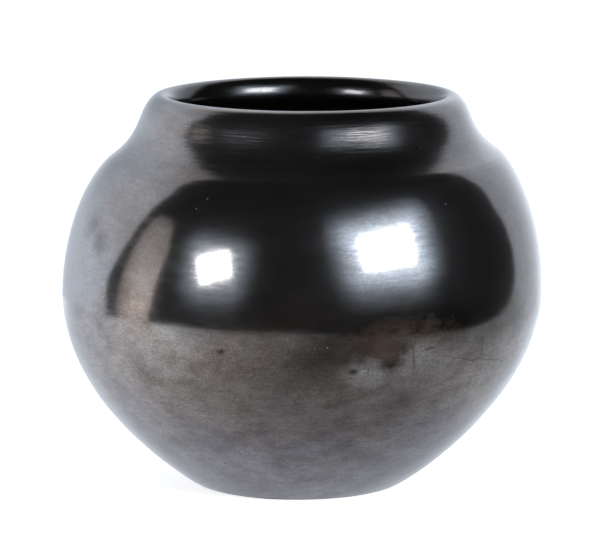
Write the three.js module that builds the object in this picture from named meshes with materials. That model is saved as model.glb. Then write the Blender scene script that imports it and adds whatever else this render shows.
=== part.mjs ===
// A small pottery bowl, built up by hand: a round body of fired clay that draws in at the shoulder and rises
// to a thick, rounded lip. A thin coat of slip covers the outside, the lip and the top of the inside, and was
// rubbed to a polish before the firing. Millimetres, +Z up, standing on z = 0 with the belly centred on Z.
import * as THREE from 'three';
import { mergeGeometries } from 'three/addons/utils/BufferGeometryUtils.js';

// Sizes of the outside, from the foot up.
const FOOT_DIAMETER = 56;
const BELLY_DIAMETER = 127;
const BELLY_HEIGHT = 51;
const MOUTH_DIAMETER = 70;
const HEIGHT = 103.2;

// Slopes of the outside against the table, in degrees.
const FOOT_SLOPE_DEGREES = 25;
const NECK_SLOPE_DEGREES = 35;
const LIP_SLOPE_DEGREES = 41.3;

// The clay. The lip is as thick as the wall. The wall runs out into the floor over the height of the rounding.
const WALL_THICKNESS = 6.4;
const FLOOR_THICKNESS = 8;
const FLOOR_ROUNDING = 6;

// The inside of the lip rounds over slowly, and has run out into the wall at its depth below the crest.
const LIP_ROUNDING_INSIDE = 5;
const LIP_DEPTH_INSIDE = 12;

// The coat of slip, and how far below the lip's crest it ends on the inside.
const SLIP_THICKNESS = 0.4;
const SLIP_DEPTH_INSIDE = 22;

// What the hand left: the lip stands to one side of the foot, and the shoulder is higher on that side.
const LEAN_OFFSET = 2.25;
const SHOULDER_TILT_HEIGHT = 0.95;
const SHOULDER_BAND_HEIGHT = 8;

// Where the round of the shoulder turns into the hollow of the neck, as parts of the way from belly to lip.
const TURN_INWARD_RATIO = 0.557;
const TURN_UPWARD_RATIO = 0.695;

// How full each curve is: the length of its handles as a part of the curve's own run or rise.
const FOOT_FULLNESS_RATIO = 0.12;
const UNDER_BELLY_FULLNESS_RATIO = 0.54;
const OVER_BELLY_FULLNESS_RATIO = 0.539;
const SHOULDER_FULLNESS_RATIO = 0.417;
const NECK_FULLNESS_RATIO = 0.558;
const LIP_FULLNESS_RATIO = 0.296;

// How finely each curve of the profile and the round are divided.
const LOWER_WALL_COUNT = 10;
const SHOULDER_COUNT = 9;
const NECK_COUNT = 6;
const LIP_COUNT = 8;
const FLOOR_COUNT = 5;
const SIDE_COUNT = 52;

const bellyRadius = BELLY_DIAMETER / 2;
const lipRound = WALL_THICKNESS / 2;
const lipEdgeRadius = MOUTH_DIAMETER / 2 + WALL_THICKNESS;
const turnHeight = BELLY_HEIGHT + TURN_UPWARD_RATIO * (HEIGHT - BELLY_HEIGHT);

// A profile lies in the plane of radius (x) and height (y).
const at = (radius, height) => new THREE.Vector2(radius, height);
const from = (start, direction, length) => start.clone().addScaledVector(direction, length);

function pointing(degrees) {
  const angle = THREE.MathUtils.degToRad(degrees);
  return at(Math.cos(angle), Math.sin(angle));
}

// Walks a curve and gives its points, each with the direction that faces out of the clay there.
function stationsAlong(curve, steps) {
  const shares = Array.from({ length: steps + 1 }, (_, step) => step / steps);
  return shares.map((share) => {
    const run = curve.getTangent(share);
    return { point: curve.getPoint(share), out: at(run.y, -run.x) };
  });
}

// The outer wall: from the foot's edge out to the belly, in over the shoulder and up the neck to the lip.
function outerWall() {
  const up = at(0, 1);
  const neckway = pointing(180 - NECK_SLOPE_DEGREES);
  const lipway = pointing(180 - LIP_SLOPE_DEGREES);

  const foot = at(FOOT_DIAMETER / 2, 0);
  const belly = at(bellyRadius, BELLY_HEIGHT);
  const turn = at(bellyRadius - TURN_INWARD_RATIO * (bellyRadius - lipEdgeRadius), turnHeight);
  const lip = from(lipCentre(), pointing(90 - LIP_SLOPE_DEGREES), lipRound);

  const lowerRun = bellyRadius - foot.x;
  const shoulderRun = bellyRadius - turn.x;
  const shoulderRise = turnHeight - BELLY_HEIGHT;
  const neckSpan = lip.distanceTo(turn);

  const lowerWall = new THREE.CubicBezierCurve(
    foot,
    from(foot, pointing(FOOT_SLOPE_DEGREES), FOOT_FULLNESS_RATIO * lowerRun),
    from(belly, up, -UNDER_BELLY_FULLNESS_RATIO * BELLY_HEIGHT),
    belly,
  );
  const shoulder = new THREE.CubicBezierCurve(
    belly,
    from(belly, up, OVER_BELLY_FULLNESS_RATIO * shoulderRise),
    from(turn, neckway, -SHOULDER_FULLNESS_RATIO * shoulderRun),
    turn,
  );
  const neck = new THREE.CubicBezierCurve(
    turn,
    from(turn, neckway, NECK_FULLNESS_RATIO * neckSpan),
    from(lip, lipway, -LIP_FULLNESS_RATIO * neckSpan),
    lip,
  );
  return [
    ...stationsAlong(lowerWall, LOWER_WALL_COUNT),
    ...stationsAlong(shoulder, SHOULDER_COUNT).slice(1),
    ...stationsAlong(neck, NECK_COUNT).slice(1),
  ];
}

function lipCentre() {
  return at(MOUTH_DIAMETER / 2 + lipRound, HEIGHT - lipRound);
}

// The lip: half a round, from the end of the neck over the crest to the inside, where its upper part is taller.
function roundedLip() {
  return Array.from({ length: LIP_COUNT - 1 }, (_, step) => {
    const way = pointing(90 - LIP_SLOPE_DEGREES + (180 * (step + 1)) / LIP_COUNT);
    const isInside = way.x < 0;
    const rounding = isInside && way.y > 0 ? LIP_ROUNDING_INSIDE : lipRound;
    const level = HEIGHT - (isInside ? LIP_ROUNDING_INSIDE : lipRound);
    const point = at(lipCentre().x + lipRound * way.x, level + rounding * way.y);
    return { point, out: at(rounding * way.x, lipRound * way.y).normalize() };
  });
}

// The inside: the outer wall again, a wall's thickness in, from the lip down to where it runs out into the floor.
function insideWall(outside) {
  const floorStart = FLOOR_THICKNESS + FLOOR_ROUNDING;
  const lipEnd = HEIGHT - LIP_DEPTH_INSIDE;
  const moved = outside.map(({ point, out }) => ({
    point: from(point, out, -WALL_THICKNESS),
    out: out.clone().negate(),
  }));
  return moved.reverse().filter(({ point }) => point.y > floorStart && point.y < lipEnd);
}

// The floor: a curve that leaves the wall along its slope and lies level at the middle.
function insideFloor(wallEnd) {
  const slopeRun = (wallEnd.point.y - FLOOR_THICKNESS) * (wallEnd.out.y / -wallEnd.out.x);
  const corner = at(wallEnd.point.x - slopeRun, FLOOR_THICKNESS);
  const curve = new THREE.QuadraticBezierCurve(wallEnd.point, corner, at(0, FLOOR_THICKNESS));
  return stationsAlong(curve, FLOOR_COUNT).slice(1);
}

// The finished surface as one run of stations, from the foot's edge over the lip to the middle of the floor.
const outside = outerWall();
const inside = insideWall(outside);
const surface = [...outside, ...roundedLip(), ...inside, ...insideFloor(inside.at(-1))];

// The slip thins away to nothing at both of its edges, and the clay under it lies that much deeper.
const slipEnd = surface.findIndex(({ point, out }) => out.x < 0 && point.y < HEIGHT - SLIP_DEPTH_INSIDE);
const clay = surface.map(({ point, out }, index) => {
  const isCovered = index > 0 && index < slipEnd;
  return isCovered ? from(point, out, -SLIP_THICKNESS) : point;
});

// Turns a profile round the axis, stands it up along Z and gives it the lean of the hand-built bowl.
function revolved(profile) {
  const geometry = new THREE.LatheGeometry(profile, SIDE_COUNT).rotateX(Math.PI / 2);
  const places = geometry.getAttribute('position');
  for (let index = 0; index < places.count; index += 1) {
    const x = places.getX(index);
    const z = places.getZ(index);
    const nearTurn = Math.exp(-(((z - turnHeight) / SHOULDER_BAND_HEIGHT) ** 2));
    places.setX(index, x + (LEAN_OFFSET * (z - BELLY_HEIGHT)) / HEIGHT);
    places.setZ(index, z + SHOULDER_TILT_HEIGHT * (x / bellyRadius) * nearTurn);
  }
  return geometry;
}

function piece(name, geometry, look) {
  const mesh = new THREE.Mesh(geometry, new THREE.MeshStandardMaterial(look));
  mesh.name = name;
  return mesh;
}

// The fired clay, from the middle of the underside round to the middle of the floor.
function clayBody() {
  const profile = [at(0, 0), ...clay];
  return piece('clay_body', revolved(profile), { color: 0x2e2a28, roughness: 0.85, metalness: 0 });
}

// The polished slip, a shell that closes on itself: it goes out along its face and comes back along the clay.
// The back is turned in the same sense as the clay and then faced the other way, so their triangles match.
function polishedSlip() {
  const face = revolved(surface.slice(0, slipEnd + 1).map(({ point }) => point));
  const back = revolved(clay.slice(0, slipEnd + 1));
  back.setIndex(Array.from(back.index.array).reverse());
  const shell = mergeGeometries([face, back]);
  return piece('polished_slip', shell, { color: 0x1f1d1e, roughness: 0.18, metalness: 0.3 });
}

const bowl = new THREE.Group();
bowl.add(clayBody(), polishedSlip());

export default bowl;
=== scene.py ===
from math import atan2, cos, exp, pi, radians, sin, tan

import bpy
import numpy as np
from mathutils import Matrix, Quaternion, Vector, noise
from mathutils.geometry import interpolate_bezier


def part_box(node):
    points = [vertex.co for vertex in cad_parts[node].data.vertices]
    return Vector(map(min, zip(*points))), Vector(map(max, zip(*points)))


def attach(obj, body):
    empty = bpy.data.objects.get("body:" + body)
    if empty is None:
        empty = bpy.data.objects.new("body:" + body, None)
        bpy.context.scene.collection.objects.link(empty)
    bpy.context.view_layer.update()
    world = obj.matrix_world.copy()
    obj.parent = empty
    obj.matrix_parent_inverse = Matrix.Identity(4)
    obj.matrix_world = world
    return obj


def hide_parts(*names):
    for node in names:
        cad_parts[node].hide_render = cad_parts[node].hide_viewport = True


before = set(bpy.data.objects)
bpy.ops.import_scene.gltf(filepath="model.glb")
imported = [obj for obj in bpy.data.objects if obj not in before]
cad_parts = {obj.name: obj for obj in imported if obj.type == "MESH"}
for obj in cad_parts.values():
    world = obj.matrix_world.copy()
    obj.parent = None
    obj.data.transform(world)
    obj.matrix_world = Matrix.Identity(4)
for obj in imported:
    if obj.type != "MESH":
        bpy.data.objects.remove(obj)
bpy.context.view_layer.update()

# The clay body: one wall of earthenware, built up by hand from coils, scraped even and smoked black in the
# firing. Its flat underside and most of its inside are left bare and matte, and slip covers all the rest.
MM = 0.001
lowest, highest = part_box("polished_slip")
HEIGHT = highest.z
BELLY_RADIUS = (highest.y - lowest.y) / 2
BELLY_LEVEL = 51.0 * MM
FOOT_RADIUS = 28.0 * MM
MOUTH_RADIUS = 35.0 * MM
FOOT_SLOPE = radians(25.0)
NECK_SLOPE = radians(35.0)
LIP_SLOPE = radians(41.3)
WALL = 6.4 * MM
FLOOR = 8.0 * MM
FLOOR_ROUNDING = 6.0 * MM
LIP_INSIDE = 5.0 * MM
LIP_DEPTH = 13.5 * MM
LIP_CENTRE = Vector((MOUTH_RADIUS + WALL / 2, HEIGHT - WALL / 2))

# Where the round of the shoulder turns into the hollow of the neck, as parts of the way from belly to lip.
TURN_INWARD = 0.557
TURN_UPWARD = 0.695
TURN_RADIUS = BELLY_RADIUS - TURN_INWARD * (BELLY_RADIUS - MOUTH_RADIUS - WALL)
TURN_LEVEL = BELLY_LEVEL + TURN_UPWARD * (HEIGHT - BELLY_LEVEL)

# How far short of half a turn the rounding of the lip ends, in radians.
LIP_END_TRIM = 0.4

# How full each curve is: the length of its handles as a part of the curve's own run, rise or span.
FOOT_FULLNESS = 0.12
UNDER_BELLY_FULLNESS = 0.54
OVER_BELLY_FULLNESS = 0.539
SHOULDER_FULLNESS = 0.417
NECK_FULLNESS = 0.558
LIP_FULLNESS = 0.296

# How finely each stretch of the profile is divided, so that its points lie about a millimetre apart, and
# closer on the lip.
LOWER_WALL_STEPS = 66
SHOULDER_STEPS = 40
NECK_STEPS = 18
LIP_STEPS = 24
UNDER_LIP_STEPS = 9
FLOOR_STEPS = 29


def pointing(angle):
    return Vector((cos(angle), sin(angle)))


def outer_wall():
    """Points of the outer profile (radius, height), from the foot's edge to the lip."""
    up = Vector((0, 1))
    neckway = pointing(pi - NECK_SLOPE)
    lipway = pointing(pi - LIP_SLOPE)
    foot = Vector((FOOT_RADIUS, 0))
    belly = Vector((BELLY_RADIUS, BELLY_LEVEL))
    turn = Vector((TURN_RADIUS, TURN_LEVEL))
    lip = LIP_CENTRE + pointing(pi / 2 - LIP_SLOPE) * WALL / 2
    span = (lip - turn).length
    lower_wall = (
        foot,
        foot + pointing(FOOT_SLOPE) * FOOT_FULLNESS * (BELLY_RADIUS - FOOT_RADIUS),
        belly - up * UNDER_BELLY_FULLNESS * BELLY_LEVEL,
        belly,
    )
    shoulder = (
        belly,
        belly + up * OVER_BELLY_FULLNESS * (TURN_LEVEL - BELLY_LEVEL),
        turn - neckway * SHOULDER_FULLNESS * (BELLY_RADIUS - TURN_RADIUS),
        turn,
    )
    neck = (turn, turn + neckway * NECK_FULLNESS * span, lip - lipway * LIP_FULLNESS * span, lip)
    stretches = ((lower_wall, LOWER_WALL_STEPS), (shoulder, SHOULDER_STEPS), (neck, NECK_STEPS))
    points = [foot]
    for curve, steps in stretches:
        points += interpolate_bezier(*curve, steps + 1)[1:]
    return np.array([point[:2] for point in points])


def facing_out(points):
    """The direction out of the clay at each point of a profile."""
    run = np.gradient(points, axis=0)
    run /= np.linalg.norm(run, axis=1)[:, None]
    return np.stack([run[:, 1], -run[:, 0]], axis=1)


def rounded_lip():
    """The lip, from the end of the neck over its crest and down the inside, which rounds over more slowly."""
    first = pi / 2 - LIP_SLOPE
    points = []
    for turn in np.linspace(first, first + pi - LIP_END_TRIM, LIP_STEPS + 1)[1:]:
        way = pointing(turn)
        rounding = LIP_INSIDE if way.x < 0 < way.y else WALL / 2
        level = HEIGHT - (LIP_INSIDE if way.x < 0 else WALL / 2)
        points.append((LIP_CENTRE.x + WALL / 2 * way.x, level + rounding * way.y))
    return np.array(points)


def shares_between(steps):
    """Even shares of the way from one end to the other, without the ends."""
    return np.linspace(0, 1, steps + 1)[1:-1, None]


def inside(outside, lip_end):
    """The outer wall again, a wall's thickness in, with its runs into the lip above and the floor below."""
    wall = (outside - facing_out(outside) * WALL)[::-1]
    wall = wall[(wall[:, 1] > FLOOR + FLOOR_ROUNDING) & (wall[:, 1] < HEIGHT - LIP_DEPTH)]
    share = shares_between(UNDER_LIP_STEPS)
    under_lip = (1 - share) * lip_end + share * wall[0]
    slope = (wall[-2] - wall[-1]) / np.linalg.norm(wall[-2] - wall[-1])
    corner = wall[-1] - slope * (wall[-1, 1] - FLOOR) / slope[1]
    middle = np.array([0, FLOOR])
    share = shares_between(FLOOR_STEPS)
    floor = (1 - share) ** 2 * wall[-1] + 2 * share * (1 - share) * corner + share**2 * middle
    return np.concatenate([under_lip, wall, floor])


outside = outer_wall()
lip = rounded_lip()
surface = np.concatenate([outside, lip, inside(outside, lip[-1])])
surface_out = facing_out(surface)
surface_out[0] = sin(FOOT_SLOPE), -cos(FOOT_SLOPE)

SIDES = 280
around = np.linspace(0, 2 * pi, SIDES, endpoint=False)

# What the hand left: the lean and the tilted shoulder, slow swells, coil rows and the strips of the rubbing.
LEAN = 2.25 * MM
SHOULDER_TILT = 0.95 * MM
SHOULDER_BAND = 8.0 * MM
SWELL_LENGTH = 42 * MM
SWELL_DEPTH = 0.20 * MM
COIL_LENGTH = 60 * MM
COIL_HEIGHT = 10 * MM
COIL_DEPTH = 0.035 * MM
STRIP_LENGTH = 17 * MM
STRIP_HEIGHT = 5.5 * MM
STRIP_DEPTH = 0.012 * MM
ROUGH_STRIP_DEPTH = 0.055 * MM
ROUGH_LEVEL = 58 * MM
ROUGH_FADE = 12 * MM
FOOT_FADE = 4 * MM


def drawn_out(place, length, height):
    """Noise with features of the given length round the bowl and height up it."""
    return noise.noise(Vector((place.x / length, place.y / length, place.z / height)))


def hand_marks(place):
    """How far the hand-built wall swells or falls back at a place."""
    swell = drawn_out(place, SWELL_LENGTH, SWELL_LENGTH) * SWELL_DEPTH
    rows = drawn_out(place, COIL_LENGTH, COIL_HEIGHT) * COIL_DEPTH
    rough = min(max((ROUGH_LEVEL - place.z) / ROUGH_FADE, 0), 1)
    strips = drawn_out(place, STRIP_LENGTH, STRIP_HEIGHT) * (STRIP_DEPTH + ROUGH_STRIP_DEPTH * rough)
    return swell + rows + strips


def rings_at(points, out, depth):
    """The rings of a profile round the bowl's axis, each point sunk by depth, leaning as the bowl does."""
    marks = np.array(
        [[hand_marks(Vector((r * cos(a), r * sin(a), z))) for a in around] for r, z in points]
    )
    fades = np.clip(points[:, 1:] / FOOT_FADE, 0, 1)
    lift = marks * fades - depth
    radius = points[:, :1] + out[:, :1] * lift
    height = points[:, 1:] + out[:, 1:] * lift
    x = radius * np.cos(around)
    near_turn = np.exp(-(((height - TURN_LEVEL) / SHOULDER_BAND) ** 2))
    tilt = SHOULDER_TILT * (x / BELLY_RADIUS) * near_turn
    x = x + LEAN * (height - BELLY_LEVEL) / HEIGHT
    return np.stack([x, radius * np.sin(around), height + tilt], axis=2)


def ring_mesh(name, rings, closed):
    """A mesh of quads between rings: it closes on itself, or both ends are filled to a middle point."""
    count, sides, _ = rings.shape
    points = rings.reshape(-1, 3).tolist()
    grid = np.arange(count * sides).reshape(count, sides)
    lower = grid if closed else grid[:-1]
    upper = np.roll(grid, -1, axis=0) if closed else grid[1:]
    corners = [lower, np.roll(lower, -1, axis=1), np.roll(upper, -1, axis=1), upper]
    faces = np.stack(corners, axis=2).reshape(-1, 4).tolist()
    if not closed:
        for ring, order in ((grid[0], -1), (grid[-1], 1)):
            middle = len(points)
            points.append(rings.reshape(-1, 3)[ring].mean(axis=0).tolist())
            pairs = zip(ring.tolist(), np.roll(ring, -1).tolist())
            faces += [(a, b, middle)[::order] for a, b in pairs]
    mesh = bpy.data.meshes.new(name)
    mesh.from_pydata(points, [], faces)
    mesh.shade_smooth()
    piece = bpy.data.objects.new(name, mesh)
    bpy.context.scene.collection.objects.link(piece)
    return piece


# The slip that the clay lies under: its thickness, how far it goes down the inside, and its brushed ends.
# The ends wander in waves, each given by a width in mm, a number round the bowl and a phase.
SLIP = 0.4 * MM
SLIP_INSIDE = 22.0 * MM
SLIP_FEATHER = 2.5 * MM
SLIP_DIP = 0.6
WANDERS = ((1.6, 3, 0.4), (1.1, 7, 2.1), (0.6, 17, 1.0))
FOOT_WANDER = 0.25
run_length = np.concatenate([[0], np.cumsum(np.linalg.norm(np.diff(surface, axis=0), axis=1))])
goes_inside = np.flatnonzero((surface_out[:, 0] < 0) & (surface[:, 1] < HEIGHT - SLIP_INSIDE))
slip_end = run_length[goes_inside[0]]


def slip_cover():
    """Depth of the slip at each point of the surface and each angle, less than nothing past its ends."""
    wander = sum(width * MM * np.sin(waves * around + phase) for width, waves, phase in WANDERS)
    start = FOOT_WANDER * wander
    end = slip_end + wander
    length = run_length[:, None]
    ramp = np.minimum(length - start, end - length) / SLIP_FEATHER
    return SLIP * np.clip(ramp, -SLIP_DIP, 1)


cover = slip_cover()
UNDERSIDE = np.array([(radius * MM, 0) for radius in (3, 8, 13, 18, 22, 25, 27)])
underside_out = np.tile((0.0, -1.0), (len(UNDERSIDE), 1))
body_rings = np.concatenate([
    rings_at(UNDERSIDE, underside_out, 0),
    rings_at(surface, surface_out, np.maximum(cover, 0)),
])
body = ring_mesh("clay_body_smoked", body_rings, closed=False)


def new_material(name):
    material = bpy.data.materials.new(name)
    material.use_nodes = True
    return material, material.node_tree, material.node_tree.nodes["Principled BSDF"]


def put(tree, kind, inputs, **settings):
    """Adds a node: settings are its own options, inputs are values or the outputs that feed it."""
    made = tree.nodes.new(kind)
    for key, value in settings.items():
        setattr(made, key, value)
    for key, value in inputs.items():
        if isinstance(value, bpy.types.NodeSocket):
            tree.links.new(value, made.inputs[key])
        else:
            made.inputs[key].default_value = value
    return made


def places(tree, stretch=(1, 1, 1)):
    """Places on the piece in metres, squeezed along each axis to draw a grain out."""
    coordinate = put(tree, "ShaderNodeTexCoord", {})
    inputs = {"Vector": coordinate.outputs["Object"], "Scale": stretch}
    return put(tree, "ShaderNodeMapping", inputs).outputs[0]


def grain(tree, size, stretch=(1, 1, 1), detail=3.0, rough=0.55):
    """Noise with features of about the given size in metres."""
    inputs = {"Vector": places(tree, stretch), "Scale": 1 / size, "Detail": detail, "Roughness": rough}
    return put(tree, "ShaderNodeTexNoise", inputs).outputs["Fac"]


def ranged(tree, value, low, high, to_low, to_high):
    """A value taken from one range into another, held at the ends."""
    inputs = {"Value": value, "From Min": low, "From Max": high, "To Min": to_low, "To Max": to_high}
    return put(tree, "ShaderNodeMapRange", inputs).outputs[0]


def blended(tree, share, first, second):
    inputs = {0: share, 6: first, 7: second}
    return put(tree, "ShaderNodeMix", inputs, data_type="RGBA").outputs[2]


def relief(tree, height, depth, below=None, strength=1.0):
    """Bump from a height of 0 to 1 that is depth metres deep."""
    inputs = {"Height": height, "Strength": strength, "Distance": depth}
    if below is not None:
        inputs["Normal"] = below
    return put(tree, "ShaderNodeBump", inputs).outputs[0]


SOOT_BLACK = (0.035, 0.031, 0.029, 1)
BARE_CLAY = (0.085, 0.073, 0.066, 1)
PALE_SAND = (0.11, 0.10, 0.09, 1)
SOOT_SIZE = 18 * MM
CLAY_SAND_SIZE = 0.7 * MM
CLAY_SAND_DEPTH = 0.10 * MM
CLAY_WIPE_SIZE = 9 * MM
CLAY_WIPE_DEPTH = 0.25 * MM
CLAY_ROUGHNESS = 0.62, 0.86


def smoked_clay():
    """Soot in clouds over bare clay, pale sand in it, and the marks of wiping in its gloss and relief."""
    material, tree, shader = new_material("smoked_clay")
    soot = grain(tree, SOOT_SIZE, detail=6)
    sand = grain(tree, CLAY_SAND_SIZE, detail=2)
    wiped = grain(tree, CLAY_WIPE_SIZE, stretch=(1, 1, 7), detail=4)
    colour = blended(tree, ranged(tree, soot, 0.35, 0.7, 0, 1), SOOT_BLACK, BARE_CLAY)
    colour = blended(tree, ranged(tree, sand, 0.56, 0.72, 0, 0.5), colour, PALE_SAND)
    tree.links.new(colour, shader.inputs["Base Color"])
    tree.links.new(ranged(tree, wiped, 0.3, 0.7, *CLAY_ROUGHNESS), shader.inputs["Roughness"])
    strokes = relief(tree, wiped, CLAY_WIPE_DEPTH)
    tree.links.new(relief(tree, sand, CLAY_SAND_DEPTH, strokes), shader.inputs["Normal"])
    return material


body.data.materials.append(smoked_clay())
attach(body, "root")
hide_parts("clay_body")

# The polished slip: a thin coat of fine clay, brushed over the outside, the lip and the top of the inside.
# It is rubbed with a smooth stone until it shines, and the smoke of the firing turns it black, with a lustre
# like graphite.
SLIP_OVERRUN = 5 * MM
SLIP_BACK = 0.25 * MM
covered = np.flatnonzero(run_length < slip_end + SLIP_OVERRUN)
buried = np.maximum(cover, 0)
face_rings = rings_at(surface[covered], surface_out[covered], (buried - cover)[covered])
back_rings = rings_at(surface[covered], surface_out[covered], buried[covered] + SLIP_BACK)
slip = ring_mesh("polished_slip_coat", np.concatenate([face_rings, back_rings[::-1]]), closed=True)


def on_wall(angle, height):
    """The place on the outer wall at a height in metres and an angle in degrees, from the front to +X."""
    radius = np.interp(height, outside[:, 1], outside[:, 0])
    return Vector((radius * sin(radians(angle)), -radius * cos(radians(angle)), height))


def reckon(tree, operation, first, second=0.0):
    return put(tree, "ShaderNodeMath", {0: first, 1: second}, operation=operation).outputs[0]


def between(tree, mask, bare, full):
    """A number that goes from bare, where a mask is 0, to full, where it is 1."""
    return ranged(tree, mask, 0.0, 1.0, bare, full)


def strongest(tree, masks):
    """The largest of several masks at each place."""
    total = masks[0]
    for mask in masks[1:]:
        total = reckon(tree, "MAXIMUM", total, mask)
    return total


def split(tree, vector):
    return put(tree, "ShaderNodeSeparateXYZ", {0: vector}).outputs


def vector_of(tree, operation, first, second):
    return put(tree, "ShaderNodeVectorMath", {0: first, 1: second}, operation=operation).outputs[0]


def scaled(tree, vector, scale):
    inputs = {0: vector, "Scale": scale}
    return put(tree, "ShaderNodeVectorMath", inputs, operation="SCALE").outputs[0]


def distance(tree, ground, spot):
    """How far each place lies from one spot, in metres."""
    return put(tree, "ShaderNodeVectorMath", {0: ground, 1: spot}, operation="DISTANCE").outputs["Value"]


def wavering(tree, size, reach, squeeze):
    """Places on the piece, pushed about by noise so that whatever is drawn at them has ragged edges."""
    inputs = {"Vector": places(tree), "Scale": 1 / size, "Detail": 5.0, "Roughness": 0.6}
    push = put(tree, "ShaderNodeTexNoise", inputs).outputs["Color"]
    middled = vector_of(tree, "SUBTRACT", push, (0.5, 0.5, 0.5))
    moved = vector_of(tree, "ADD", places(tree), scaled(tree, middled, 2 * reach))
    return vector_of(tree, "MULTIPLY", moved, squeeze)


CLOUD_SQUEEZE = Vector((1.0, 1.0, 1.5))


def clouds(tree, spots, size, reach, core=0.15):
    """A mask of ragged clouds, wider than they are tall, that fade from the middle or from a core. A spot is
    an angle from the front in degrees, a height and a radius in millimetres, and a depth."""
    ground = wavering(tree, size, reach, CLOUD_SQUEEZE)
    masks = []
    for angle, height, radius, depth in spots:
        far = distance(tree, ground, on_wall(angle, height * MM) * CLOUD_SQUEEZE)
        masks.append(ranged(tree, far, core * radius * MM, radius * MM, depth, 0.0))
    return strongest(tree, masks)


def unrolled(tree):
    """Places unrolled from the wall: the way round from the front, at the belly's radius, and the height."""
    spot = split(tree, places(tree))
    turn = reckon(tree, "ARCTAN2", spot["X"], reckon(tree, "MULTIPLY", spot["Y"], -1.0))
    along = reckon(tree, "MULTIPLY", turn, BELLY_RADIUS)
    return put(tree, "ShaderNodeCombineXYZ", {"X": along, "Y": spot["Z"]}).outputs[0]


CRACK_SWAY_SIZE = 5 * MM
CRACK_SWAY = 0.8 * MM


def hairlines(tree, lines, width):
    """A mask of fine, wavering cracks. Each has two ends, given by an angle in degrees and a height in mm."""
    wall = unrolled(tree)
    wandering = grain(tree, CRACK_SWAY_SIZE, detail=4)
    sway = ranged(tree, wandering, 0.3, 0.7, -CRACK_SWAY, CRACK_SWAY)
    masks = []
    for ends in lines:
        first, last = (Vector((radians(angle) * BELLY_RADIUS, height * MM)) for angle, height in ends)
        run = last - first
        turned = {"Vector": wall, "Location": (*first, 0), "Rotation": (0, 0, atan2(run.y, run.x))}
        spot = split(tree, put(tree, "ShaderNodeMapping", turned, vector_type="TEXTURE").outputs[0])
        aside = reckon(tree, "ABSOLUTE", reckon(tree, "ADD", spot["Y"], sway))
        fine = ranged(tree, aside, 0.2 * width, width, 1.0, 0.0)
        begun = ranged(tree, spot["X"], 0, 0.2 * run.length, 0.0, 1.0)
        ended = ranged(tree, spot["X"], 0.7 * run.length, run.length, 1.0, 0.0)
        masks.append(reckon(tree, "MULTIPLY", fine, reckon(tree, "MULTIPLY", begun, ended)))
    return strongest(tree, masks)


def specks(tree, size, reach, share):
    """A mask of small round spots: one of that reach in a share of the cells of that size."""
    cells = put(tree, "ShaderNodeTexVoronoi", {"Vector": places(tree), "Scale": 1 / size})
    near = ranged(tree, cells.outputs["Distance"], 0.5 * reach / size, reach / size, 1.0, 0.0)
    draw = put(tree, "ShaderNodeSeparateColor", {0: cells.outputs["Color"]}).outputs[0]
    return reckon(tree, "MULTIPLY", near, reckon(tree, "LESS_THAN", draw, share))


# Levels on the wall: where the foot's ash ends, where the polish begins, and where the neck begins.
ASH_LEVEL = 16 * MM
WARM_LEVEL = 36 * MM
RUBBED_LEVEL = 46 * MM
POLISHED_LEVEL = 58 * MM
LEVEL_DRIFT = 10 * MM
LEVEL_DRIFT_SIZE = 12 * MM
NECK_START = 84 * MM
NECK_LEVEL = 92 * MM
LIP_CREST_RADIUS = MOUTH_RADIUS + 4.5 * MM
LIP_INNER_RADIUS = MOUTH_RADIUS + 0.5 * MM
MOUTH_AXIS = Vector((LEAN * (HEIGHT - BELLY_LEVEL) / HEIGHT, 0, 0))


def slip_zones(tree):
    """The height, the height with a ragged drift, and masks of the polish, the neck and the lip's inside."""
    height = split(tree, places(tree))["Z"]
    wandering = grain(tree, LEVEL_DRIFT_SIZE, detail=6)
    drift = ranged(tree, wandering, 0.3, 0.7, -LEVEL_DRIFT, LEVEL_DRIFT)
    drifted = reckon(tree, "ADD", height, drift)
    polished = ranged(tree, drifted, RUBBED_LEVEL, POLISHED_LEVEL, 0.0, 1.0)
    neck = ranged(tree, height, NECK_START, NECK_LEVEL, 0.0, 1.0)
    from_axis = distance(tree, places(tree, (1, 1, 0)), MOUTH_AXIS)
    inward = ranged(tree, from_axis, LIP_CREST_RADIUS, LIP_INNER_RADIUS, 0.0, 1.0)
    return height, drifted, polished, neck, reckon(tree, "MULTIPLY", neck, inward)


# The marks of the fire and of use, with painted shade and painted reflections among them, each at an angle
# and height on the wall, with a radius in mm and a depth. A crack runs between two such places instead.
# Painted shade: the clouds low on the belly from the front round to the right, and the one on the neck; the
# rest are smoky clouds from the firing.
SMOKE_AND_PAINTED_SHADE_CLOUDS = (
    (-2, 41, 48, 0.66),
    (2, 44, 18, 0.8),
    (27, 51, 12, 0.6),
    (38, 50, 15, 0.7),
    (48, 49, 14, 0.6),
    (57, 50, 12, 0.5),
    (22, 97, 24, 0.7),
    (-65, 72, 7, 0.5),
    (-59, 69, 6, 0.5),
    (118, 58, 40, 0.8),
    (-146, 36, 46, 0.8),
    (170, 80, 26, 0.6),
)
# Painted pale reflection: the three on the front right, round the dark notch; the other two are wear.
WORN_AND_PAINTED_PALE_SPOTS = (
    (15.5, 40.4, 8, 0.9),
    (25, 42.5, 9, 0.6),
    (33, 41, 11, 0.4),
    (-34, 45, 12, 0.4),
    (140, 44, 12, 0.7),
)
# All painted reflection: a dark thing standing in front of the bowl, mirrored low on the belly's front.
PAINTED_DARK_REFLECTIONS = (
    (9.0, 47.0, 12, 1.3),
    (13.5, 47.2, 8, 1.2),
    (5.0, 44.2, 10, 1.0),
    (1.0, 42.2, 10, 0.7),
    (21.0, 42.4, 4.5, 1.4),
    (23.5, 46.8, 4.5, 0.9),
)
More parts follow.
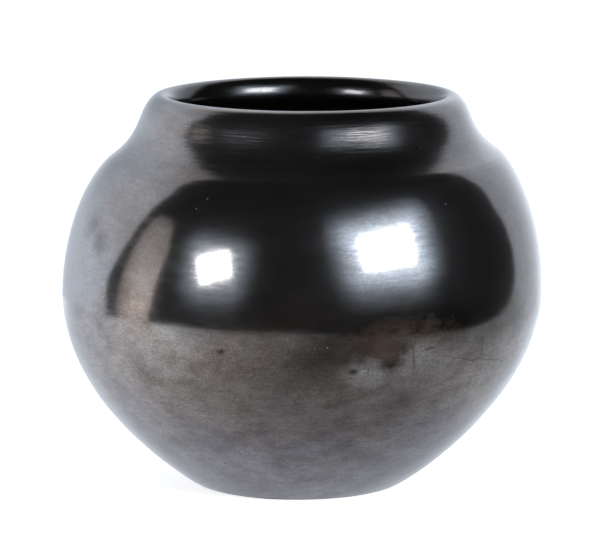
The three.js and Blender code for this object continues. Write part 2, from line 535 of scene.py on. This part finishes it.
# The two on the front are a painted reflection of a brown thing in front of the bowl; the third is rusty
# clay.
RUSTS_AND_BROWN_REFLECTIONS = (
    (18.4, 47.4, 7, 0.95),
    (19.8, 45.4, 5.5, 0.95),
    (-132, 44, 12, 0.7),
)
# Painted reflection too: a thin brown band above the two front ones, running to the right.
PAINTED_REFLECTION_HAZES = (
    (18, 50.2, 9, 0.8),
    (24, 50.4, 10, 0.78),
    (30, 50.4, 10, 0.72),
    (35.5, 50.4, 8, 0.55),
)
HAZE_START = 47.5 * MM
HAZE_LEVEL = 50 * MM
PITS = (
    (12, 40.4, 1.9, 0.9),
    (-18.8, 45.3, 1.6, 0.9),
    (-96, 62, 0.9, 0.9),
    (150, 50, 0.8, 0.9),
)
CRACKS = (
    ((33, 42.9), (66, 36.4)),
    ((46.2, 46.6), (47.6, 40.4)),
    ((26.2, 47.2), (26.9, 38.6)),
    ((29.2, 44.4), (32.6, 46.4)),
    ((-121, 52.0), (-99, 56.5)),
)
CRACK_WIDTH = 0.32 * MM
MOTTLE_SIZE = 3 * MM


def rust_and_reflection_stain(tree, height):
    """Ragged brown marks, rusty on the side, on the front a painted reflection with a band above, mottled."""
    stain_and_reflection = clouds(tree, RUSTS_AND_BROWN_REFLECTIONS, size=3.5 * MM, reach=2.6 * MM, core=0.2)
    above_stain = ranged(tree, height, HAZE_START, HAZE_LEVEL, 0.0, 1.0)
    painted_haze = clouds(tree, PAINTED_REFLECTION_HAZES, size=5 * MM, reach=1.2 * MM, core=0.0)
    painted_haze = reckon(tree, "MULTIPLY", painted_haze, above_stain)
    mottles = grain(tree, MOTTLE_SIZE, stretch=(1, 1, 1.4), detail=6, rough=0.7)
    mottled = ranged(tree, mottles, 0.32, 0.68, 0.35, 1.25)
    return reckon(tree, "MULTIPLY", reckon(tree, "MAXIMUM", stain_and_reflection, painted_haze), mottled)


ASHEN = (0.131, 0.119, 0.127, 1)
WARM = (0.164, 0.144, 0.132, 1)
GRAPHITE = (0.158, 0.150, 0.148, 1)
SMOKE_AND_SHADE_BROWN = (0.024, 0.018, 0.014, 1)
PAINTED_DARK_REFLECTION = (0.034, 0.027, 0.023, 1)
RUST_AND_REFLECTION_BROWN = (0.047, 0.031, 0.022, 1)
WORN_AND_PALE_REFLECTION = (0.23, 0.215, 0.21, 1)
PIT = (0.012, 0.010, 0.010, 1)
DUST = (0.20, 0.19, 0.18, 1)
PATCH_DARK = (0.60, 0.55, 0.51, 1)
PATCH_LIGHT = (1.36, 1.36, 1.38, 1)
PATCH_NONE = (1, 1, 1, 1)


def fired_and_painted_colour(tree, drifted, polished, smoke_and_shade, rust_and_reflection):
    """Ashen at the foot, warm above, graphite where polished, and marks, part of them painted shade and
    reflection.
    """
    colour = blended(tree, ranged(tree, drifted, ASH_LEVEL, WARM_LEVEL, 0.0, 1.0), ASHEN, WARM)
    colour = blended(tree, polished, colour, GRAPHITE)
    colour = blended(tree, smoke_and_shade, colour, SMOKE_AND_SHADE_BROWN)
    colour = blended(tree, clouds(tree, WORN_AND_PAINTED_PALE_SPOTS, size=4 * MM, reach=2.5 * MM), colour, WORN_AND_PALE_REFLECTION)
    colour = blended(tree, clouds(tree, PAINTED_DARK_REFLECTIONS, size=4 * MM, reach=2.5 * MM), colour, PAINTED_DARK_REFLECTION)
    return blended(tree, ranged(tree, rust_and_reflection, 0.0, 0.4, 0.0, 1.0), colour, RUST_AND_REFLECTION_BROWN)


# The sizes and strengths of the marks. Of two strengths, the first is below the polish, the second on it.
PATCH_SIZE = 9 * MM
PATCH_FADE = 0.0, 0.6
STREAK_SIZE = 3.2 * MM
STREAK_DARK = 0.86, 0.91
STREAK_LIGHT = 1.14, 1.09
SAND_DARK = 0.74, 0.86
SAND_LIGHT = 1.26, 1.14
RUBBED_DARK = 0.90
RUBBED_LIGHT = 1.10
# Painted shade: how much darker the inside of the lip is made, as in the hollow of the mouth.
PAINTED_BRIM_SHADE = 0.36
FLECK_STRENGTH = 0.45, 0.2
CRACK_STRENGTH = 0.5


def shaded(tree, colour, polished, brim, rubbed, sand):
    """A colour made uneven by patches, rubbing, streaks and sand, with painted shade inside the lip."""
    patches = grain(tree, PATCH_SIZE, stretch=(1, 1, 1.6), detail=7, rough=0.7)
    tone = blended(tree, ranged(tree, patches, 0.3, 0.7, 0.0, 1.0), PATCH_DARK, PATCH_LIGHT)
    tone = blended(tree, between(tree, polished, *PATCH_FADE), tone, PATCH_NONE)
    streaks = grain(tree, STREAK_SIZE, stretch=(1, 1, 12), detail=2)
    streak_dark = between(tree, polished, *STREAK_DARK)
    streak_light = between(tree, polished, *STREAK_LIGHT)
    sand_dark = between(tree, polished, *SAND_DARK)
    sand_light = between(tree, polished, *SAND_LIGHT)
    shades = (
        ranged(tree, rubbed, 0.25, 0.75, RUBBED_DARK, RUBBED_LIGHT),
        between(tree, brim, 1.0, PAINTED_BRIM_SHADE),
        ranged(tree, streaks, 0.25, 0.75, streak_dark, streak_light),
        ranged(tree, sand, 0.25, 0.75, sand_dark, sand_light),
    )
    colour = vector_of(tree, "MULTIPLY", colour, tone)
    for shade in shades:
        colour = scaled(tree, colour, shade)
    return colour


def marked(tree, colour, polished, cracked):
    """A colour with dark grit, pits and cracks in it."""
    grit = specks(tree, size=2.0 * MM, reach=0.40 * MM, share=0.14)
    flecks = reckon(tree, "MULTIPLY", grit, between(tree, polished, *FLECK_STRENGTH))
    pits = clouds(tree, PITS, size=1.5 * MM, reach=0.5 * MM)
    faint_cracks = reckon(tree, "MULTIPLY", cracked, CRACK_STRENGTH)
    return blended(tree, strongest(tree, [flecks, pits, faint_cracks]), colour, PIT)


RUBBED_ROUGHNESS = 0.10, 0.145
UNPOLISHED_DULL = 0.03
NECK_DULL = 0.06
MATTE_DULL = 0.12


def slip_roughness(tree, polished, neck, matte, rubbed):
    """Smooth from the stone, and duller below the polish, on the neck and on the matte brown marks."""
    smooth = ranged(tree, rubbed, 0.3, 0.7, *RUBBED_ROUGHNESS)
    unpolished = between(tree, polished, UNPOLISHED_DULL, 0.0)
    dulled = reckon(tree, "ADD", unpolished, between(tree, neck, 0.0, NECK_DULL))
    dulled = reckon(tree, "ADD", dulled, reckon(tree, "MULTIPLY", matte, MATTE_DULL))
    return reckon(tree, "ADD", smooth, dulled)


STROKE_SIZE = 7 * MM
STROKE_DEPTH = 0.012 * MM
STROKE_STRENGTH = 0.8, 0.25
WIPE_SIZE = 9 * MM
WIPE_DEPTH = 0.045 * MM
WIPE_INSIDE = 0.3
SAND_SIZE = 0.6 * MM
SAND_DEPTH = 0.0008 * MM
CRACK_DEPTH = 0.03 * MM


def slip_relief(tree, polished, neck, brim, rubbed, sand, cracked):
    """The strokes of the stone, wiping round the neck, less of it inside the lip, sand and cracks."""
    uneven = reckon(tree, "MAXIMUM", between(tree, polished, *STROKE_STRENGTH), neck)
    strokes = relief(tree, rubbed, STROKE_DEPTH, strength=uneven)
    wiped = grain(tree, WIPE_SIZE, stretch=(1, 1, 18), detail=3)
    around_neck = reckon(tree, "MULTIPLY", neck, between(tree, brim, 1.0, WIPE_INSIDE))
    strokes = relief(tree, wiped, WIPE_DEPTH, strokes, strength=around_neck)
    grains = relief(tree, sand, SAND_DEPTH, strokes)
    return relief(tree, reckon(tree, "SUBTRACT", 1.0, cracked), CRACK_DEPTH, grains)


METALLIC = 0.98
SPECULAR_LEVEL = 0.1
COAT_ROUGHNESS = 0.30
COAT_WEIGHT = 0.35
BARE_COAT_WEIGHT = 0.05


def burnished_slip():
    """A lustre like metal under a hazy coat, thinnest on smoky clouds, painted shade, brown marks and in the
    lip.
    """
    material, tree, shader = new_material("burnished_slip")
    shader.inputs["Coat Roughness"].default_value = COAT_ROUGHNESS
    shader.inputs["Specular IOR Level"].default_value = SPECULAR_LEVEL
    height, drifted, polished, neck, brim = slip_zones(tree)
    smoke_and_shade = clouds(tree, SMOKE_AND_PAINTED_SHADE_CLOUDS, size=6 * MM, reach=3.5 * MM)
    rust_and_reflection = rust_and_reflection_stain(tree, height)
    matte = ranged(tree, rust_and_reflection, 0.2, 0.9, 0.0, 0.85)
    rubbed = grain(tree, STROKE_SIZE, stretch=(1, 1, 9), detail=4)
    sand = grain(tree, SAND_SIZE, detail=2)
    cracked = hairlines(tree, CRACKS, CRACK_WIDTH)
    dust = specks(tree, size=3.0 * MM, reach=0.20 * MM, share=0.15)

    colour = fired_and_painted_colour(tree, drifted, polished, smoke_and_shade, rust_and_reflection)
    colour = shaded(tree, colour, polished, brim, rubbed, sand)
    colour = marked(tree, colour, polished, cracked)
    tree.links.new(blended(tree, dust, colour, DUST), shader.inputs["Base Color"])

    dull = reckon(tree, "MAXIMUM", dust, matte)
    tree.links.new(between(tree, dull, METALLIC, 0.0), shader.inputs["Metallic"])
    bare = strongest(tree, [smoke_and_shade, matte, brim])
    tree.links.new(between(tree, bare, COAT_WEIGHT, BARE_COAT_WEIGHT), shader.inputs["Coat Weight"])
    roughness = slip_roughness(tree, polished, neck, matte, rubbed)
    tree.links.new(roughness, shader.inputs["Roughness"])
    normal = slip_relief(tree, polished, neck, brim, rubbed, sand, cracked)
    tree.links.new(normal, shader.inputs["Normal"])
    return material


slip.data.materials.append(burnished_slip())
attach(slip, "root")
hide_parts("polished_slip")

# The table: a small round top, painted pale and matte, that ends a little way in front of the bowl.
# Painted pools of light glow on it at the left, behind and faintly right, so the polish shows it brighter
# there.
TABLE_RADIUS = 285 * MM
TABLE_MIDDLE = Vector((-75, -6, 0)) * MM
TABLE_SIDES = 128
TABLE_PAINT = (0.80, 0.80, 0.80, 1)
TABLE_WHITE = (1, 1, 1, 1)
FRONT_TINT = (0.92, 0.95, 1.0, 1)
BACK_TINT = (0.76, 0.86, 1.0, 1)
SEEN_GLOW = 0.7
LEFT_GLOW = 1.65
LEFT_GLOW_FAR = 0.05
BACK_GLOW = 0.72
RIGHT_GLOW = 0.18

# The places of the light, from the table's middle. A pool has a spot, and two radii between which it fades.
# The left pool, the light behind and the cool tint each come up between two places from front to back.
LEFT_SPOT = Vector((-200, -40, 0)) * MM
LEFT_POOL = 40 * MM, 340 * MM
RIGHT_SPOT = Vector((140, 36, 0)) * MM
RIGHT_POOL = 30 * MM, 110 * MM
LEFT_RISE = -TABLE_RADIUS, -150 * MM
BACK_RISE = -60 * MM, 160 * MM
COOL_RISE = -75 * MM, 45 * MM


def table_glow(tree, backward, rays):
    """The glow that reflections see, painted pools of light left and right and from behind, and the camera's.
    """
    from_left = distance(tree, places(tree), LEFT_SPOT)
    from_right = distance(tree, places(tree), RIGHT_SPOT)
    left = ranged(tree, from_left, *LEFT_POOL, LEFT_GLOW, LEFT_GLOW_FAR)
    left = reckon(tree, "MULTIPLY", left, ranged(tree, backward, *LEFT_RISE, 0.0, 1.0))
    right = ranged(tree, from_right, *RIGHT_POOL, RIGHT_GLOW, 0.0)
    back = ranged(tree, backward, *BACK_RISE, 0.0, BACK_GLOW)
    lit = reckon(tree, "ADD", reckon(tree, "MAXIMUM", left, back), right)
    mirrored = reckon(tree, "MAXIMUM", rays["Is Glossy Ray"], rays["Is Transmission Ray"])
    seen = reckon(tree, "MULTIPLY", rays["Is Camera Ray"], SEEN_GLOW)
    return reckon(tree, "ADD", reckon(tree, "MULTIPLY", mirrored, lit), seen)


def pale_paint():
    material, tree, shader = new_material("pale_table")
    shader.inputs["Base Color"].default_value = TABLE_PAINT
    shader.inputs["Roughness"].default_value = 1.0
    shader.inputs["Specular IOR Level"].default_value = 0.0
    rays = put(tree, "ShaderNodeLightPath", {}).outputs
    backward = split(tree, places(tree))["Y"]
    cool = ranged(tree, backward, *COOL_RISE, 0.0, 1.0)
    tint = blended(tree, cool, FRONT_TINT, BACK_TINT)
    tint = blended(tree, rays["Is Camera Ray"], tint, TABLE_WHITE)
    tree.links.new(tint, shader.inputs["Emission Color"])
    tree.links.new(table_glow(tree, backward, rays), shader.inputs["Emission Strength"])
    return material


def round_table():
    turns = np.linspace(0, 2 * pi, TABLE_SIDES, endpoint=False)
    rim = [(TABLE_RADIUS * cos(turn), TABLE_RADIUS * sin(turn), 0) for turn in turns]
    mesh = bpy.data.meshes.new("table")
    mesh.from_pydata(rim, [], [tuple(range(TABLE_SIDES))])
    mesh.materials.append(pale_paint())
    table = bpy.data.objects.new("table", mesh)
    table.location = TABLE_MIDDLE
    bpy.context.scene.collection.objects.link(table)
    return table


round_table()

# The studio walls: pale cloth beside and behind the bowl, dark cloth in front and overhead, for the polish to
# show. They are parts of wide spheres that no camera sees, and white light comes in between them.
STUDIO_RADIUS = 3.0
COOL_WHITE = Vector((0.84, 0.90, 1.0))
BLUE_WHITE = Vector((0.80, 0.88, 1.0))
GREY_WHITE = Vector((0.84, 0.86, 0.92))
WARM_WHITE = Vector((1.0, 0.955, 0.935))
WORLD_STRENGTH = 1.2

world = bpy.data.worlds.new("cool_white")
bpy.context.scene.world = world
world.use_nodes = True
world.node_tree.nodes["Background"].inputs["Color"].default_value = (*COOL_WHITE, 1)
world.node_tree.nodes["Background"].inputs["Strength"].default_value = WORLD_STRENGTH


def bearing(azimuth, elevation):
    """A direction by its azimuth, from the viewer's side towards +X, and its elevation, both in degrees."""
    az, el = radians(azimuth), radians(elevation)
    return Vector((sin(az) * cos(el), -cos(az) * cos(el), sin(el)))


def rise(value, low, high):
    """0 below the low value, 1 above the high one, and a smooth step between."""
    share = min(max((value - low) / (high - low), 0), 1)
    return share * share * (3 - 2 * share)


def swelling(value, middle, spread):
    """1 at the middle value and less to both sides."""
    return exp(-(((value - middle) / spread) ** 2))


def glowing_cloth(name):
    material, tree, shader = new_material(name)
    shader.inputs["Base Color"].default_value = (0, 0, 0, 1)
    shader.inputs["Specular IOR Level"].default_value = 0.0
    shader.inputs["Emission Strength"].default_value = 1.0
    glow = put(tree, "ShaderNodeAttribute", {}, attribute_name="light").outputs["Color"]
    tree.links.new(glow, shader.inputs["Emission Color"])
    return material


def studio_wall(name, light, left, right, low, high, away=STUDIO_RADIUS, step=2.0):
    """A glowing piece of a sphere round the bowl, between two elevations and two azimuths, all in degrees.
    left and right give its ends in azimuth at an elevation, and light its glow at a bearing."""
    points, lights = [], []
    rows = max(1, round((high - low) / step))
    columns = max(1, round((right(low) - left(low)) / step))
    for elevation in np.linspace(low, high, rows + 1):
        for azimuth in np.linspace(left(elevation), right(elevation), columns + 1):
            points.append(bearing(azimuth, elevation) * away)
            lights += [*light(azimuth, elevation), 1.0]
    grid = np.arange(len(points)).reshape(rows + 1, columns + 1)
    corners = [grid[:-1, :-1], grid[:-1, 1:], grid[1:, 1:], grid[1:, :-1]]
    mesh = bpy.data.meshes.new(name)
    mesh.from_pydata(points, [], np.stack(corners, axis=2).reshape(-1, 4).tolist())
    mesh.attributes.new("light", "FLOAT_COLOR", "POINT").data.foreach_set("color", lights)
    mesh.materials.append(glowing_cloth(name))
    wall = bpy.data.objects.new(name, mesh)
    wall.visible_camera = False
    bpy.context.scene.collection.objects.link(wall)
    return wall


def edge(*bends):
    """An end of a wall: its azimuth at an elevation, from bends that are each an elevation and an azimuth."""
    elevations, azimuths = zip(*bends)
    return lambda elevation: np.interp(elevation, elevations, azimuths)


def upright(azimuth):
    return lambda elevation: azimuth


# The dark side ends in a tall arch on the left and on the right, and closes behind the bowl near the top.
DARK_LEFT = edge(
    (2, -105.5), (9, -101), (16, -96.5), (26, -95), (42, -96), (52, -106), (62, -128), (70, -152), (78, -180)
)
DARK_RIGHT = edge(
    (-16, 90), (-13, 100), (-11, 109), (-8, 117), (-4, 121.5), (3, 122.5), (10, 121.5), (16, 118.5),
    (34, 118.5), (42, 124), (50, 132), (58, 145), (66, 165), (74, 180),
)

# The glow of each wall. In its formula, a pair of degrees says where a rise starts and ends, or gives the
# middle and the spread of a swelling.
DARK_GREY = Vector((1.0, 0.95, 0.92)) * 0.022
FRONT_BROWN = Vector((1.0, 0.86, 0.76)) * 0.055
BACK_BROWN = Vector((1.0, 0.9, 0.82)) * 0.45
CEILING_GLOW = 1.4
OVERHEAD_GLOW = 0.05
LEFT_WALL_GLOW = 0.95
RIGHT_WALL_GLOW = 1.08
PANEL_GLOW = 2.15


def dark_light(azimuth, elevation):
    """Nearly nothing, with a faint brown glow low down in front."""
    return DARK_GREY + FRONT_BROWN * swelling(azimuth, 0, 24) * swelling(elevation, -2, 14)


def ceiling_light(azimuth, elevation):
    """White at the top of the walls and dim overhead, where the part behind the bowl keeps a brown glow."""
    white = COOL_WHITE.lerp(WARM_WHITE, rise(elevation, 36, 62))
    dimmed = 1 - 0.3 * swelling(azimuth, 130, 18)
    glow = CEILING_GLOW * (1 - rise(elevation, 34, 74)) * dimmed + OVERHEAD_GLOW
    return white * glow + BACK_BROWN * swelling(azimuth, 184, 34)


def left_light(azimuth, elevation):
    """Brightest beside the bowl low down, and a little brighter high up and straight behind."""
    beside = 1.25 * rise(azimuth, -165, -114) * (1 - 0.5 * rise(elevation, 5, 40))
    behind = 0.3 * rise(elevation, 10, 20) * (1 - rise(azimuth, -176, -162))
    upward = 0.35 * rise(elevation, 18, 34) - 0.22 * rise(elevation, 2, 12)
    tint = BLUE_WHITE.lerp(GREY_WHITE, rise(elevation, 0, 20) * rise(azimuth, -150, -115))
    return tint * (LEFT_WALL_GLOW + upward + beside + behind)


def right_light(azimuth, elevation):
    """Even, with a brighter stretch towards the back and a dimmer end."""
    brighter = 0.28 * rise(azimuth, 136, 165)
    dimmer = 0.4 * rise(azimuth, 167, 184)
    return COOL_WHITE * (RIGHT_WALL_GLOW + brighter - dimmer)


def panel_light(azimuth, elevation):
    """Brightest at the foot and towards the front."""
    upward = 1.15 * rise(elevation, 0, 24) + 0.6 * rise(elevation, 25, 31)
    frontward = 0.42 + 0.58 * rise(azimuth, -98, -83)
    return WARM_WHITE * (PANEL_GLOW - upward) * frontward


dark_side = studio_wall("dark_side", dark_light, DARK_LEFT, DARK_RIGHT, low=-30, high=89.9)
dark_side.data.materials[0].cycles.emission_sampling = "NONE"
studio_wall("ceiling", ceiling_light, DARK_RIGHT, lambda el: DARK_LEFT(el) + 360, low=38, high=77.9)

SIDE_WALL = {"low": -20, "high": 40, "away": 1.1 * STUDIO_RADIUS}
studio_wall("lit_left_wall", left_light, upright(-176), upright(-94), **SIDE_WALL)
studio_wall("lit_right_wall", right_light, upright(119), upright(184), **SIDE_WALL)
studio_wall(
    "standing_panel",
    panel_light,
    left=edge((-2, -97), (12, -93), (21, -90), (31, -87)),
    right=edge((-10, -78), (5, -74), (18, -71), (27, -74), (31, -78)),
    low=-14,
    high=31,
    away=0.9 * STUDIO_RADIUS,
)

# The softboxes: two lamps with flat white cloth faces, one each side of the camera and turned to the bowl.
# A wide scrim of thin bluish cloth hangs behind each, with a painted glow round the lamp for a halo in the
# polish.
LAMP_WHITE = (0.95, 0.98, 1.0)
LAMP_DISTANCE = 1.2
LAMP_RADIANCE = 16
SCRIM_BLUE = Vector((0.68, 0.83, 1.0))

# The scrim's margin round the lamp in reaches of the spill, its lowest edge in degrees, and the squares of
# the distances, in reaches too, where the spill's last fading starts and ends.
SCRIM_MARGIN = 3.2
SCRIM_LOWEST = -12
LAST_FADING = 6, 10


def flat_lamp(name, azimuth, elevation, width, height, roll):
    """The lamp's face, with its width, height and roll given in degrees as seen from the bowl."""
    lamp = bpy.data.lights.new(name, "AREA")
    lamp.shape = "RECTANGLE"
    lamp.size = 2 * LAMP_DISTANCE * tan(radians(width / 2))
    lamp.size_y = 2 * LAMP_DISTANCE * tan(radians(height / 2))
    lamp.energy = LAMP_RADIANCE * pi * lamp.size * lamp.size_y
    lamp.color = LAMP_WHITE
    way = bearing(azimuth, elevation)
    turn = way.to_track_quat("Z", "Y") @ Quaternion((0, 0, 1), radians(roll))
    holder = bpy.data.objects.new(name, lamp)
    holder.location = Vector((0, 0, BELLY_LEVEL)) + way * LAMP_DISTANCE
    holder.rotation_euler = turn.to_euler()
    holder.visible_camera = False
    bpy.context.scene.collection.objects.link(holder)


def softbox(name, azimuth, elevation, width, height, roll, spill, reach):
    """A lamp and its scrim, whose painted glow is the spill at the lamp and fades over the reach, in degrees.
    """
    flat_lamp(name, azimuth, elevation, width, height, roll)

    def spilt(az, el):
        beside = max(abs(az - azimuth) * cos(radians(el)) - width / 2, 0)
        above = max(abs(el - elevation) - height / 2, 0)
        off = (beside**2 + above**2) / reach**2
        glow = spill * exp(-0.5 * off) * (1 - rise(off, *LAST_FADING))
        return dark_light(az, el) + SCRIM_BLUE * glow

    half_width = width / 2 + SCRIM_MARGIN * reach
    half_height = height / 2 + SCRIM_MARGIN * reach
    studio_wall(
        name + "_scrim",
        spilt,
        left=upright(azimuth - half_width),
        right=upright(azimuth + half_width),
        low=max(elevation - half_height, SCRIM_LOWEST),
        high=elevation + half_height,
        away=0.8 * STUDIO_RADIUS,
        step=1.0,
    )


softbox("left_softbox", azimuth=-43.6, elevation=15.5, width=16.2, height=12, roll=20, spill=1.85, reach=4.5)
softbox("right_softbox", azimuth=42.3, elevation=22.9, width=25.2, height=16, roll=0, spill=4.6, reach=5.9)

# The camera: a long lens about a metre away, square in front of the bowl and ten degrees above it.
# It is aimed a little above the belly, and its lens is worked out for an image 600 pixels wide.
IMAGE_WIDTH = 600
FOCAL_PIXELS = 3764
SENSOR = 36.0
VIEW_DISTANCE = 1.0
VIEW_ELEVATION = radians(9.94)
VIEW_LEVEL = 50 * MM
AIM = Vector((-0.53, 0, 56.0)) * MM

camera = bpy.data.objects.new("camera", bpy.data.cameras.new("camera"))
camera.data.sensor_width = SENSOR
camera.data.lens = FOCAL_PIXELS / IMAGE_WIDTH * SENSOR
camera.location = (
    AIM.x,
    -VIEW_DISTANCE * cos(VIEW_ELEVATION),
    VIEW_LEVEL + VIEW_DISTANCE * sin(VIEW_ELEVATION),
)
camera.rotation_euler = (AIM - camera.location).to_track_quat("-Z", "Y").to_euler()
bpy.context.scene.collection.objects.link(camera)
bpy.context.scene.camera = camera
bpy.context.scene.view_settings.view_transform = "Standard"
